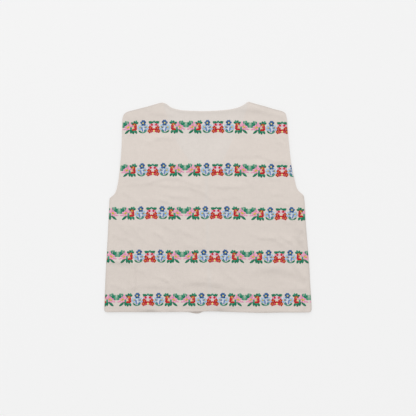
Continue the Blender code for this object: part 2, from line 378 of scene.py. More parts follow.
wall = {
    "thickness": 1.8,
    "seamEase": 0.05,
    "seamEnd": 2.0,
    "rounding": 1.2,  # how far a free edge curves in
    "seamRounding": 5.5,  # how far the cloth curves in from a sewn edge, on its outer side
    "seamRim": 0.1,  # where a sewn edge closes, as a share of the wall from its seam side
    "turning": 0.16,  # how much thicker the cloth is where its edge is turned in
    "stitchLine": 5.0,  # how far inside the edge the turning is sewn down
    "stitchWidth": 0.45,
    "stitchDepth": 0.14,
    "stitchUneven": 0.8,
    "stitchUnevenLength": 9.0,
    "turningEase": 1.2,
    "seamFlat": 0.7,  # how much less of this there is at a seam
    # painted shade along the sewn edges, where the rolled seams fall into shade, twice as dark on the
    # shoulders
    "seamShade": 0.08,
    "seamShadeWidth": 2.6,
    "shoulders": (340.0, 355.0),  # the seams between these heights get twice as dark
}


def edgeRelief(net, sewn, seed):
    # the turned edge is a little thicker, and ends at a sewn line
    distance = fromEdge(net)
    turned = 1.0 - smoothStep((distance - wall["stitchLine"]) / wall["turningEase"])
    line = np.exp(-(((distance - wall["stitchLine"]) / wall["stitchWidth"]) ** 2))
    uneven = wall["stitchUneven"] * roll(net, wall["stitchUnevenLength"], seed)
    depth = wall["stitchDepth"] * (1.0 + uneven)
    return (wall["turning"] * turned - depth * line) * (1.0 - wall["seamFlat"] * sewn)


def closedEdges(net, upper, lower, sewn, outerIsUpper):
    # both faces run together at the edge: halfway up a free one, and at the seam side of a sewn one
    distance = fromEdge(net)
    free = wall["rounding"]
    soft = free + (wall["seamRounding"] - free) * sewn
    rim = 0.5 + (wall["seamRim"] - 0.5) * sewn
    if not outerIsUpper:
        rim = 1.0 - rim
    meeting = lower + (upper - lower) * rim

    def swell(reach):
        inward = np.clip(distance / reach, 0.0, 1.0)
        return np.sqrt(1.0 - (1.0 - inward) ** 2)

    above, below = swell(soft if outerIsUpper else free), swell(free if outerIsUpper else soft)
    return meeting + (upper - meeting) * above, meeting + (lower - meeting) * below


def bothFaces(above, below):
    # the values of the upper face, then those of the lower one, which shares its edge
    return np.concatenate([above.ravel(), below[1:-1, 1:-1].ravel()])


def placed(name, data):
    item = bpy.data.objects.new(name, data)
    bpy.context.scene.collection.objects.link(item)
    return item


def addPiece(name, points, faces):
    data = bpy.data.meshes.new(name)
    data.from_pydata((points * mm).tolist(), [], faces)
    data.shade_smooth()
    return placed(name, data)


def clothShell(name, net, upper, lower, shift):
    x, y = net[..., 0] + shift[0], net[..., 1] + shift[1]
    points = np.stack([bothFaces(x, x), bothFaces(y, y), bothFaces(upper, lower)], axis=1)
    above = np.arange(upper.size).reshape(upper.shape)
    below = above.copy()
    inside = below[1:-1, 1:-1]
    inside[:] = upper.size + np.arange(inside.size).reshape(inside.shape)

    def quads(index):
        corners = [index[:-1, :-1], index[:-1, 1:], index[1:, 1:], index[1:, :-1]]
        return np.stack(corners, axis=-1).reshape(-1, 4)

    return addPiece(name, points, np.concatenate([quads(above), quads(below)[:, ::-1]]).tolist())


def addValues(piece, name, values):
    # a number for each point of a piece, for its material
    attribute = piece.data.attributes.new(name=name, type="FLOAT", domain="POINT")
    attribute.data.foreach_set("value", np.asarray(values, dtype=np.float32))


backPanel = {
    "size": (330.0, 366.0),  # rough, to space its net
    "gap": 0.35,  # above the fronts
    "puff": 0.9,
    "puffReach": 24.0,
    "aboveTable": 0.25,
    "edgeLift": 0.7,  # how far a free edge rises from the fronts here and there
    "edgeLiftLength": 46.0,
    "veeReach": 34.0,
    "veeLean": 0.87,
    # painted light: the back takes a paler, cooler colour where only the table lies below it, as if seen
    # through the cloth
    "veeBlur": 3.0,  # how soft the edge of its paler, cooler colour is
    "veeBlurStart": 1.0,  # how far outside the V it begins
    "slitWidth": 3.2,  # of the cool line where the fronts meet below it
    "slitShare": 0.8,
    "slitEnd": 6.0,
    "waves": ((46.0, 0.7), (17.0, 0.15), (7.5, 0.035)),  # length and height of its soft waves
    "wavesOnTable": 0.5,
    "seeds": {"waves": 5.0, "lift": 17.0, "creases": 11.0, "edge": 21.0},
    "flatSize": (0.3742, 0.3816),
}


def depthInsideVee(net):
    left, right = edge("veeLeft"), edge("veeRight")
    x, up = net[..., 0], net[..., 1]
    inside = np.minimum(x - acrossAt(left, up), acrossAt(right, up) - x) * backPanel["veeLean"]
    return np.minimum(inside, up - left[0, 1])


def lyingAlone(net, vee):
    # 1 where no front lies below the back: in the V, and along the slit between the fronts, where a painted
    #                                       see-through colour goes
    line = edge("frontEdge")
    x, up = net[..., 0], net[..., 1]
    slit = np.exp(-(((x - acrossAt(line, up)) / backPanel["slitWidth"]) ** 2))
    below = smoothStep((line[-1, 1] - up) / backPanel["slitEnd"] + 1.0)
    opening = smoothStep((vee + backPanel["veeBlurStart"]) / backPanel["veeBlur"])
    return np.maximum(opening, backPanel["slitShare"] * slit * below)


# soft patches of painted shade and painted light: middle, half width, half height and how much lighter the
# cloth gets there
paintedShadingPatches = [
    (-122, 362, 50, 16, -0.067),
    (-72, 372, 34, 10, -0.03),
    (105, 366, 55, 16, -0.062),
    (0, 362, 60, 9, -0.04),
    (0, 300, 110, 28, 0.018),
    (30, 5, 36, 8, -0.06),
    (-120, 3, 16, 5, -0.06),
    (-155, 5, 26, 9, -0.035),
    (135, 8, 48, 10, 0.035),
    (166, 140, 8, 34, -0.035),
    (25, 222, 150, 19, 0.009),
    (172, 68, 12, 20, 0.006),
    (-103, 3.6, 13, 2.4, -0.22),
    (-66, 4, 10, 3, -0.09),
    (22, 5, 10, 2.4, -0.15),
    (112, 2.2, 34, 2, -0.09),
]
# and the fronts: a painted shadow where the hem of one shows below the back's
frontPaintedShadow = [(-18, -1, 20, 5, -0.15)]


def paintedShadingOf(net, sewn, rows):
    # the patches of painted shade and light, and a line of painted shade that runs along a seam
    total = np.zeros(net.shape[:2])
    for x, up, wide, tall, change in rows:
        across, upward = (net[..., 0] - x) / wide, (net[..., 1] - up) / tall
        total += change * np.exp(-(across**2) - upward**2)
    # painted shade along the seams
    start, end = wall["shoulders"]
    shade = wall["seamShade"] * (1.0 + smoothStep((net[..., 1] - start) / (end - start)))
    return total - shade * sewn * np.exp(-((fromEdge(net) / wall["seamShadeWidth"]) ** 2))


def makeBack():
    hem, top = edge("hem"), edge("shoulderLeft", "neck", "shoulderRight")
    left, right = outerEdges["Left"], outerEdges["Right"]
    wide, tall = backPanel["size"]
    neckLeft, neckRight = cut["neck"][0][0], cut["neck"][-1][0]
    neckPoints = [(x - top[0, 0]) / (top[-1, 0] - top[0, 0]) for x in (neckLeft, neckRight)]
    across = stations(wide, mesh["backStep"], neckPoints)
    upward = stations(tall, mesh["backStep"])
    net = netBetween(hem, top, left, right, across, upward)

    seamLeft = seamEnd(net[:, :1, 1] - cut["armholeLeft"][0][1])
    seamRight = seamEnd(net[:, -1:, 1] - cut["armholeRight"][0][1])
    seamTop = seamEnd(np.minimum(net[-1:, :, 0] - neckLeft, neckRight - net[-1:, :, 0]))
    sewn = seamShare(net, (seamLeft, seamRight, 0.0, seamTop))

    thickness = wall["thickness"]
    onFronts = thickness + backPanel["gap"] + 0.5 * thickness
    onTable = backPanel["aboveTable"] + 0.5 * thickness
    distance = fromEdge(net)
    freedom = smoothStep(distance / backPanel["puffReach"])
    seeds = backPanel["seeds"]
    waves = sum(height * roll(net, size, seeds["waves"]) for size, height in backPanel["waves"])
    lift = np.clip(0.5 + roll(net, backPanel["edgeLiftLength"], seeds["lift"]), 0.0, 1.0)
    lying = onFronts + (backPanel["puff"] + waves) * freedom
    folds = creaseHeights(net, backCreases, seeds["creases"])
    lying = lying + folds * smoothStep(distance / creases["clearOfEdge"])
    lying = lying + backPanel["edgeLift"] * lift * (1.0 - freedom) * (1.0 - sewn)
    vee = depthInsideVee(net)
    sunk = smoothStep(vee / backPanel["veeReach"])
    resting = onTable + backPanel["wavesOnTable"] * np.maximum(waves, 0.0) * freedom
    middle = lying + (resting - lying) * sunk

    upper = middle + 0.5 * thickness + edgeRelief(net, sewn, seeds["edge"])
    upper, lower = closedEdges(net, upper, middle - 0.5 * thickness, sewn, True)

    low, high = np.array(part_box("back"))[:, :2]
    outline = net.reshape(-1, 2)
    shift = (low + high) / 2.0 / mm - (outline.min(axis=0) + outline.max(axis=0)) / 2.0
    piece = clothShell("back_panel", net, upper, lower, shift)
    alone = lyingAlone(net, vee)
    # sunk: where the painted see-through colour goes
    addValues(piece, "sunk", bothFaces(alone, alone))
    # tone: painted shade and light, the patches and the line along the seams
    tone = paintedShadingOf(net, sewn, paintedShadingPatches)
    addValues(piece, "tone", bothFaces(tone, tone))
    return piece, shift, flatArea(hem, right, top[::-1], left[::-1])


frontPanels = {
    "size": (150.0, 366.0),
    "inset": 0.8,  # smaller than the back all round
    "bandInset": 0.5,  # how much further in its bands end
    "edgeGap": 0.4,  # between the two front edges
    "hollow": 0.42,  # how far the underside lies above the table inside its flat border
    "borderStart": 3.0,
    "border": 7.0,
    "waves": ((22.0, 0.05, 8.0), (9.0, 0.03, 3.0)),  # length, height and seed
    "deepest": -0.1,  # limits of the creases and waves on the underside
    "highest": 0.2,
    "seeds": {"creases": 31.0, "edge": 41.0},
    "flatSize": (0.1890, 0.3810),
    "creases": [
        (40, 320, 92, 334, 4, 10, 0.14),
        (60, 214, 118, 222, 10, 4, 0.14),
        (24, 152, 70, 130, 4, 10, 0.16),
        (96, 148, 150, 126, 10, 4, 0.16),
        (30, 62, 84, 74, 4, 10, 0.16),
        (104, 58, 160, 48, 10, 4, 0.14),
        (120, 276, 134, 240, 4, 9, 0.12),
    ],
}


def makeFront(hand, shift):
    left = hand == "Left"
    hem, top = edge("hemFront" + hand), edge("shoulder" + hand)
    vee, outer = innerEdges[hand], outerEdges[hand]
    first, last = (outer, vee) if left else (vee, outer)
    wide, tall = frontPanels["size"]
    point = (cut["veeLeft"][0][1] - vee[0, 1]) / (vee[-1, 1] - vee[0, 1])
    step = mesh["frontStep"]
    net = netBetween(hem, top, first, last, stations(wide, step), stations(tall, step, [point]))

    reach = np.abs(net).reshape(-1, 2).max(axis=0)
    net = net * (1.0 - frontPanels["inset"] / reach)
    inner, outside = (net[:, -1, 0], net[:, 0, 0]) if left else (net[:, 0, 0], net[:, -1, 0])
    share = (net[..., 0] - outside[:, None]) / (inner - outside)[:, None]
    net[..., 0] += math.copysign(frontPanels["edgeGap"] / 2.0, outside[0]) * share

    armpit = cut["armhole" + hand][0][1]
    seam = seamEnd((net[:, :1, 1] if left else net[:, -1:, 1]) - armpit)
    sewn = seamShare(net, (seam, 0.0, 0.0, 1.0) if left else (0.0, seam, 0.0, 1.0))

    rows = frontPanels["creases"]
    if left:
        rows = [(-x, up, -endX, *rest) for x, up, endX, *rest in rows]
    seeds = frontPanels["seeds"]
    soft = creaseHeights(net, rows, seeds["creases"])
    for size, height, seed in frontPanels["waves"]:
        soft = soft + height * roll(net, size, seed)
    distance = fromEdge(net) - frontPanels["borderStart"]
    border = smoothStep(distance / frontPanels["border"])
    lower = (frontPanels["hollow"] - np.clip(soft, frontPanels["deepest"], frontPanels["highest"])) * border
    upper = np.full(net.shape[:2], wall["thickness"])
    lower = np.maximum(lower - np.minimum(edgeRelief(net, sewn, seeds["edge"]), 0.0), 0.0)
    upper, lower = closedEdges(net, upper, lower, sewn, False)
    piece = clothShell(f"front_{hand.lower()}_panel", net, upper, lower, shift)
    # tone: a painted shadow at the hem
    tone = paintedShadingOf(net, 0.0, frontPaintedShadow)
    addValues(piece, "tone", bothFaces(tone, tone))
    return piece, flatArea(hem, last, top[::-1], first[::-1])


# embroidery: padded stitches, each a copy of one domed pad, laid on the cloth

threads = {
    "darkGreen": (6, 119, 86),
    "green": (66, 146, 119),
    "sage": (122, 166, 138),
    "paleSage": (168, 190, 172),
    "darkBlue": (30, 75, 131),
    "blue": (60, 101, 150),
    "lightBlue": (165, 193, 219),
    "paleBlue": (192, 208, 222),
    "whiteBlue": (208, 216, 222),
    "slate": (104, 132, 186),
    "deepRed": (164, 22, 26),
    "crimson": (200, 12, 40),
    "red": (184, 24, 32),
    "hotRed": (192, 0, 6),
    "rose": (198, 68, 80),
    "pink": (232, 158, 188),
    "mauve": (208, 146, 178),
    "palePink": (230, 194, 206),
    "peach": (230, 176, 150),
    "orange": (204, 98, 44),
    "amber": (206, 124, 52),
    "ochre": (212, 180, 68),
    "yellow": (228, 214, 108),
    "paleYellow": (234, 226, 150),
    "olive": (196, 176, 84),
    "moss": (160, 150, 80),
}

embroidery = {
    "reach": 58.3,  # from the middle of the leaves to the middle of the red flowers
    "height": 0.4,
    "sunk": 0.14,  # how deep a pad's base sits in the cloth
    "layers": (0.0, 0.05, 0.02, 0.08, 0.04),  # how much higher they lie, each in turn
    "under": 0.45,  # how full the stitches are below the fronts, where they are pressed flat
    "lowest": 0.02,  # how near the table they come
    "wobble": 0.22,  # how far a stitch's ends stray, in millimetres
    "clearOfEdge": 0.9,
    "widthStray": 0.06,
    "spread": {  # threads whose stitches lie wider
        "darkGreen": 1.09, "green": 1.09, "sage": 1.06, "blue": 1.03, "darkBlue": 1.03, "lightBlue": 1.04,
    },
    "shade": 0.05,  # how far the shade of a stitch strays
    "tip": 0.08,  # how much lighter a petal gets towards its tip
    "clearOfCloth": 50.0,  # a height well above every crease
    "margin": 80.0,  # how far past the panel the repeats begin and end
    "squeeze": 0.03,  # what is left of a stitch's length past the edge
    "rightDroop": (49.0, 103.0),  # where the bands start and end their small drop, to the right
    "leftDroop": (-80.0, -150.0),
    "leftPull": (-112.0, -165.0),  # where the cloth is drawn in at its left end
}

# height of the middle, place of one red flower's middle, length of a repeat, and how far it strays
Band = namedtuple("Band", "up redX repeat rightDrop leftDrop leftPull")

bandRows = [
    Band(334.8, 18.3, 115.4, 1.8, 1.2, 0.0),
    Band(257.3, 17.1, 116.4, 1.8, 1.0, 0.0),
    Band(179.5, 15.0, 116.6, 1.8, 0.5, 0.4),
    Band(101.3, 12.1, 116.6, 0.9, 0.0, 0.4),
    Band(23.5, 8.0, 116.0, 0.2, 0.0, 1.2),
]

# u runs from the middle of the leaves to the middle of the red flowers, in millimetres. A row with
# "once" lies on one of the two middles and isn't mirrored.
Stitch = namedtuple("Stitch", "shape colour u up endU endUp width bend once", defaults=(0.0, False))

sprayStitches = [
    # wreath of leaves
    ("leaf", "sage", 0, 4.4, 0, -0.8, 4, 0, True),
    ("leaf", "paleSage", 0, 2.8, 0, 8.2, 3, 0, True),
    ("leaf", "sage", 0.5, 7.4, 4.4, 7.4, 2.6, 0.5),
    ("leaf", "sage", 0.7, 2.2, 3.2, 5.2, 2.8, 0.3),
    ("leaf", "green", 1.2, 0, 5.2, 2.8, 3, -0.3),
    ("leaf", "green", 2.7, 1.4, 3.2, 8.4, 3.2, -0.5),
    ("leaf", "darkGreen", 4.8, 1.8, 6.2, 6.8, 3.2, -0.5),
    ("leaf", "green", 5.8, 3.4, 6.7, 12, 3.2, -0.2),
    ("leaf", "darkGreen", 2, 6.4, 7.4, 7.2, 3.2, 0.2),
    ("leaf", "darkGreen", 7.5, 1.8, 8.2, 8.6, 3.8, 0.2),
    ("leaf", "sage", 7.8, 8, 10.2, 11.4, 2.6, 0.3),
    ("leaf", "green", 11.2, 4.8, 12, 11.2, 2.7, 0.2),
    # large pink flower
    ("petal", "pink", 12.2, 1.6, 14.8, 10, 4),
    ("petal", "mauve", 11.6, 1, 12.4, 6.6, 4.4),
    ("petal", "pink", 12.6, 0.8, 19, 3.6, 5),
    ("petal", "pink", 13.4, 1.4, 17.6, 5.6, 3.4),
    ("petal", "mauve", 16.4, 2.4, 20.8, 2.8, 3.2),
    ("petal", "pink", 10.8, 0.6, 8.6, 4.8, 4.2),
    ("petal", "pink", 10.8, 0.4, 4.8, 1.6, 4.6),
    ("petal", "pink", 9.6, -1.4, 1.4, -4.2, 3.6),
    ("petal", "pink", 11, -0.6, 8.6, -6, 4.6),
    ("petal", "pink", 12.2, -0.4, 14.4, -4.4, 4.6),
    ("round", "ochre", 8.4, -1.4, 14.2, 2, 3.9),
    # lance leaf, stem and the leaves below
    ("leaf", "darkGreen", 14, -3.8, 4.8, -11.3, 3.7, 0.4),
    ("petal", "green", 16.4, -6.6, 16.7, 0.9, 4.4),
    ("leaf", "darkGreen", 13.8, -4, 19.6, -7.4, 3.8),
    ("leaf", "darkGreen", 15.8, -4.2, 16.7, -11.5, 3.5, 0.2),
    ("leaf", "darkGreen", 20.2, -4.4, 21.3, -12.4, 4.2, -0.2),
    ("leaf", "green", 19.8, -6.4, 25.4, -7.6, 3.2),
    ("leaf", "darkGreen", 24.2, -5, 27.4, -11.4, 3.8, -0.3),
    # cluster of small red flowers
    ("petal", "red", 24.2, 4.8, 26.6, 1, 4),
    ("petal", "red", 24.2, 2.6, 26.4, -2, 4.8),
    ("petal", "red", 24.4, -0.2, 26.4, -4.8, 5.2),
    ("petal", "rose", 22.3, 3.4, 23.8, -0.8, 4.2),
    ("petal", "hotRed", 26.2, -4.4, 17.8, -4.6, 4.7),
    ("petal", "hotRed", 21, -4.6, 25.8, -5.6, 3.4),
    ("petal", "hotRed", 22, -3.8, 18.8, -4.4, 3.4),
    ("petal", "deepRed", 22.4, 4.6, 18.6, 5.4, 3.8),
    ("petal", "deepRed", 22.3, 4.4, 21.4, 7.4, 4.2),
    ("petal", "red", 22.7, 4.8, 26.8, 5.6, 4.2),
    ("petal", "orange", 22.9, 4, 24.6, 1.6, 2.8),
    ("round", "ochre", 21, 4.7, 24.6, 4.1, 3.3),
    ("petal", "palePink", 20.9, -1.2, 18.4, -2.4, 2.4),
    ("petal", "peach", 20.9, -1, 18.8, 1, 2.8),
    ("petal", "rose", 20.9, -1.2, 23.2, -2.4, 2.6),
    ("round", "yellow", 19.6, -1, 22.6, -1.5, 2.9),
    # fan of leaves over it
    ("leaf", "darkGreen", 21.2, 5.4, 16.8, 9.2, 3.6),
    ("leaf", "darkGreen", 23, 6.6, 22.2, 12, 3.5),
    ("leaf", "green", 24.8, 6.6, 27, 12.4, 3.3),
    ("leaf", "darkGreen", 24.2, 6.8, 27.4, 9.4, 3.4),
    ("leaf", "darkGreen", 25, 6.4, 30.2, 8.8, 3.6),
    # light blue flowers
    ("petal", "whiteBlue", 39.4, 0.8, 39.8, -6.8, 4),
    ("petal", "paleBlue", 41.4, 1, 35.6, 1, 4.4),
    ("petal", "lightBlue", 32.9, -0.2, 27.8, -0.6, 5),
    ("petal", "lightBlue", 32.9, -0.2, 31.4, 4.9, 5),
    ("petal", "lightBlue", 32.9, -0.2, 36.4, 3.2, 4.6),
    ("petal", "slate", 33.4, -0.4, 37.2, -1.6, 4.2),
    ("petal", "lightBlue", 32.9, -0.4, 34.6, -5.6, 4.6),
    ("petal", "lightBlue", 32.9, -0.4, 30, -4.8, 4.6),
    ("petal", "lightBlue", 45, 0, 44.4, 5, 5),
    ("petal", "paleBlue", 45, 0, 49.6, 2.6, 4.4),
    ("petal", "lightBlue", 45, 0, 48.8, -4, 5),
    ("petal", "lightBlue", 45, 0, 44.4, -5.2, 4.6),
    ("petal", "slate", 44.6, 0, 40.6, -0.6, 4.4),
    ("round", "olive", 30.8, -0.3, 35.2, -0.3, 4.2),
    ("round", "moss", 42.6, -0.1, 46.4, 0, 4),
    ("round", "paleYellow", 45.4, -1.2, 47.2, -0.4, 2.2),
    ("stem", "slate", 36.9, -1.4, 37.4, -8.2, 3),
    ("stem", "blue", 43.4, -3.8, 40, -8.2, 2.6),
    # dark blue flower
    ("petal", "blue", 38.7, 7.4, 40.9, 12.8, 4.9),
    ("petal", "darkBlue", 38.7, 7.4, 44, 9.4, 5.2),
    ("petal", "blue", 38.7, 7.4, 42.4, 3, 5.2),
    ("petal", "darkBlue", 38.7, 7.4, 36.4, 2.2, 5.2),
    ("petal", "blue", 38.7, 7.4, 33.4, 8.4, 5),
    ("petal", "blue", 38.7, 7.4, 37.2, 12.7, 4.7),
    ("round", "yellow", 36.9, 7.3, 40.6, 7.4, 3.8),
    # green crescent
    ("leaf", "darkGreen", 30.4, -5.6, 37, -10, 2.8, -0.5),
    ("stem", "green", 34.8, -9.4, 41, -9.6, 2.2, -0.5),
    ("leaf", "green", 39, -10, 45.2, -5.2, 2.8, -0.6),
    # bud with its pink halo
    ("petal", "pink", 54.4, 4.5, 49.8, 5.8, 3.8),
    ("petal", "pink", 54.4, 4.5, 51.8, 1.2, 3.6),
    ("petal", "pink", 54.4, 4.5, 57.2, 2.4, 3.4),
    ("petal", "palePink", 54.4, 4.8, 57.4, 7, 3.4),
    ("petal", "palePink", 58.3, 6.6, 58.3, 1.4, 4, 0, True),
    # red blossoms
    ("petal", "red", 50, -7.2, 49.8, -11.1, 4.2),
    ("petal", "rose", 50, -7.2, 54.6, -9.2, 4.6),
    ("petal", "rose", 58.3, -6.7, 53.4, -8.2, 4.4),
    ("petal", "red", 50, -7.2, 46.6, -7.2, 4.8),
    ("petal", "red", 50, -7.2, 53.8, -4.4, 4.4),
    ("petal", "deepRed", 50.2, -6.8, 49.6, -2.8, 4.4),
    ("petal", "hotRed", 51.7, -1.3, 47.6, -0.7, 4.6),
    ("petal", "red", 51.7, -1.3, 51.2, 3.2, 4.2),
    ("petal", "red", 51.7, -1.3, 55.8, -0.6, 3.8),
    ("petal", "red", 51.7, -1.3, 56, -4.2, 4.4),
    ("petal", "hotRed", 58.3, -6.7, 54.2, -3.4, 4.2),
    ("petal", "red", 58.3, -6.7, 58.3, -2.2, 4.2, 0, True),
    ("round", "orange", 49.9, -1.5, 53.9, -1.3, 3.7),
    ("round", "amber", 48.2, -7.3, 52, -7.3, 3.6),
    ("petal", "ochre", 55.7, -6.7, 60.9, -6.7, 4.8, 0, True),
    ("round", "paleYellow", 56.1, -6.9, 60.5, -6.9, 4.3, 0, True),
    ("round", "crimson", 52, 4.3, 57, 4.3, 5),
    # three leaves and the arch
    ("petal", "darkGreen", 52, 4.8, 49.2, 10.6, 3.2),
    ("petal", "darkGreen", 52, 4.8, 54.4, 10.6, 3.2),
    ("petal", "darkGreen", 52, 4.6, 52, 11, 3.6),
    ("stem", "darkGreen", 55.4, 5.8, 57.4, 9.4, 3.4, 0.5),
    ("stem", "green", 56.5, 9.2, 60.1, 9.2, 3.2, 0.9, True),
]
spray = [Stitch(*row) for row in sprayStitches]


stitchPad = {
    "around": 6,
    "along": 8,
    "base": -0.1,  # the points below this height
    "baseHeight": 0.12,  # what is left of their depth
    "foot": -0.02,  # the points that then go into the cloth
    "decimals": 4,
}


def modelStitchPad():
    # a small ball laid on its side, with its lower half pressed flat
    bpy.ops.object.select_all(action="DESELECT")
    bpy.ops.mesh.primitive_uv_sphere_add(segments=stitchPad["around"], ring_count=stitchPad["along"])
    pad = bpy.context.object
    bpy.ops.object.mode_set(mode="EDIT")
    bpy.ops.mesh.select_all(action="SELECT")
    middle = (0.0, 0.0, 0.0)
    for axis, angle in (("Y", math.pi / 2.0), ("X", math.pi / stitchPad["around"])):
        bpy.ops.transform.rotate(value=angle, orient_axis=axis, center_override=middle)
    bpy.ops.object.mode_set(mode="OBJECT")
    for vertex in pad.data.vertices:
        vertex.select = vertex.co.z < stitchPad["base"]
    for item in [*pad.data.polygons, *pad.data.edges]:
        item.select = False
    bpy.ops.object.mode_set(mode="EDIT")
    bpy.ops.mesh.select_mode(type="VERT")
    bpy.ops.transform.resize(value=(1.0, 1.0, stitchPad["baseHeight"]), center_override=middle)
    bpy.ops.mesh.select_all(action="SELECT")
    bpy.ops.mesh.normals_make_consistent(inside=False)
    bpy.ops.object.mode_set(mode="OBJECT")
    # Blender's own order of the points and faces differs from run to run, so both are sorted
    points = np.array([vertex.co[:] for vertex in pad.data.vertices])
    order = np.lexsort(np.round(points, stitchPad["decimals"]).T)
    rank = np.argsort(order).tolist()
    faces = [[rank[i] for i in polygon.vertices] for polygon in pad.data.polygons]
    bpy.data.objects.remove(pad)
    return points[order], sorted(faces, key=sorted)


# how wide a stitch is along its length, from -1 to 1, as shares of a ball's width there
widthProfiles = {
    "leaf": lambda x: (1.0 - 0.999 * x * x) ** 0.24 * 1.19,
    "petal": lambda x: 0.86 + 0.26 * x,
    "round": np.ones_like,
    "stem": lambda x: (1.0 - 0.999 * x * x) ** -0.3 * 0.9,
}
heightShares = {"leaf": 0.9, "petal": 1.0, "round": 1.5, "stem": 0.8}


def linear(colour):
    share = np.asarray(colour, dtype=float) / 255.0
    return np.where(share <= 0.04045, share / 12.92, ((share + 0.055) / 1.055) ** 2.4)


def bentPad(pad, row, layer, chance):
    # the pad's points laid along a stitch's line: u, up, height, and its place along and across
    stray = chance.uniform(-1.0, 1.0, 4) * embroidery["wobble"]
    start = np.array([row.u + stray[0], row.up + stray[1]])
    end = np.array([row.endU + stray[2], row.endUp + stray[3]])
    if row.once:
        start[0], end[0] = row.u, row.endU
    run = end - start
    length = np.hypot(*run)
    x, y, z = pad[:, 0], pad[:, 1], pad[:, 2]
    share = (x + 1.0) / 2.0
    normal = np.array([-run[1], run[0]]) / length
    line = start + run * share[:, None] + normal * (row.bend * 4.0 * share * (1.0 - share))[:, None]
    slope = row.bend * 4.0 * (1.0 - 2.0 * share) / length
    turned = normal - run / length * slope[:, None]
    spread = embroidery["spread"].get(row.colour, 1.0)
    half = 0.5 * row.width * spread * (1.0 + embroidery["widthStray"] * chance.uniform(-1.0, 1.0))
    across = y * half * widthProfiles[row.shape](x)
    place = line + turned * across[:, None]
    full = embroidery["height"] * heightShares[row.shape] + layer
    height = np.where(z < stitchPad["foot"], -embroidery["sunk"], z * full)
    return place, height, share * length, across


def rampOver(x, name):
    start, end = embroidery[name]
    return smoothStep((x - start) / (end - start))


def layBand(name, stitch, band, limits, ground, downward, seed):
    # one band of the pattern, from edge to edge of a panel, on the side of the cloth that faces out
    pad, faces = stitch
    up, repeat = band.up, band.repeat
    chance = np.random.RandomState(seed)
    points, polygons, grain, tints = [], [], [], []
    low, high = limits(np.array([up]))
    middle = band.redX - repeat / 2.0
    first = math.floor((low.min() - embroidery["margin"] - middle) / repeat)
    last = math.ceil((high.max() + embroidery["margin"] - middle) / repeat)
    stretch = repeat / (2.0 * embroidery["reach"])
    for k in range(first, last + 1):
        for direction in (1.0, -1.0):
            for order, row in enumerate(spray):
                if row.once and direction < 0.0:
                    continue
                layer = embroidery["layers"][order % len(embroidery["layers"])]
                place, height, along, across = bentPad(pad, row, layer, chance)
                if downward:
                    height = height * embroidery["under"]
                tone = 1.0 + embroidery["shade"] * chance.uniform(-1.0, 1.0)
                x = middle + k * repeat + direction * stretch * place[:, 0]
                drop = band.rightDrop * rampOver(x, "rightDroop") + band.leftDrop * rampOver(x, "leftDroop")
                y = up + place[:, 1] - drop
                x = x + band.leftPull * rampOver(x, "leftPull")
                left, right = limits(y)
                if np.all(x < left) or np.all(x > right):
                    continue
                held = np.clip(x, left, right)
                x = held + embroidery["squeeze"] * (x - held) + shift[0]
                y = y + shift[1]
                level = np.array([ground(*point) for point in zip(x, y)])
                z = np.maximum(level - height, embroidery["lowest"]) if downward else level + height
                base = len(points) * len(pad)
                points.append(np.stack([x, y, z], axis=1))
                step = -1 if (direction < 0.0) != downward else 1
                polygons += [[base + i for i in face[::step]] for face in faces]
                slant = np.full(len(pad), float(row.shape == "leaf"))
                grain.append(np.stack([along, across, slant], axis=1))
                tip = 1.0 + embroidery["tip"] * (along / along.max() - 0.5) * (row.shape == "petal")
                tints.append(linear(threads[row.colour])[None] * (tone * tip)[:, None])
    piece = addPiece(name, np.concatenate(points), polygons)
    data = piece.data
    grain, tints = np.concatenate(grain), np.concatenate(tints)
    corners = np.empty(len(data.loops), dtype=np.int32)
    data.loops.foreach_get("vertex_index", corners)
    layer = data.uv_layers.new(name="grain")
    layer.data.foreach_set("uv", grain[corners, :2].astype(np.float32).ravel())
    colours = data.color_attributes.new(name="thread", type="FLOAT_COLOR", domain="POINT")
    full = np.concatenate([tints, np.ones((len(tints), 1))], axis=1)
    colours.data.foreach_set("color", full.astype(np.float32).ravel())
    addValues(piece, "slant", grain[:, 2])
    return piece


def groundOf(panel, downward):
    # the height of a panel's outer face above or below a point, in millimetres
    tree = BVHTree.FromPolygons(
        [vertex.co[:] for vertex in panel.data.vertices],
        [polygon.vertices[:] for polygon in panel.data.polygons],
    )
    side = -1.0 if downward else 1.0
    heading = Vector((0.0, 0.0, -side))

    def height(x, y):
        hit = tree.ray_cast(Vector((x, y, side * embroidery["clearOfCloth"])) * mm, heading)
        return 0.0 if hit[0] is None else hit[0].z / mm

    return height


# materials


class Signal:
    # a shader socket on which maths is written as plain expressions
    def __init__(self, recipe, socket):
        self.recipe = recipe
        self.socket = socket

    def calculate(self, operation, first, second):
        return self.recipe.add("Math", {"operation": operation}, {0: first, 1: second})

    def __add__(self, other):
        return self.calculate("ADD", self, other)

    __radd__ = __add__

    def __sub__(self, other):
        return self.calculate("SUBTRACT", self, other)

    def __mul__(self, other):
        return self.calculate("MULTIPLY", self, other)

    def __abs__(self):
        return self.calculate("ABSOLUTE", self, 0.0)

    def wave(self, length):
        # from -1 to 1 and back over each length
        return self.calculate("SINE", self * (2.0 * math.pi / length), 0.0)


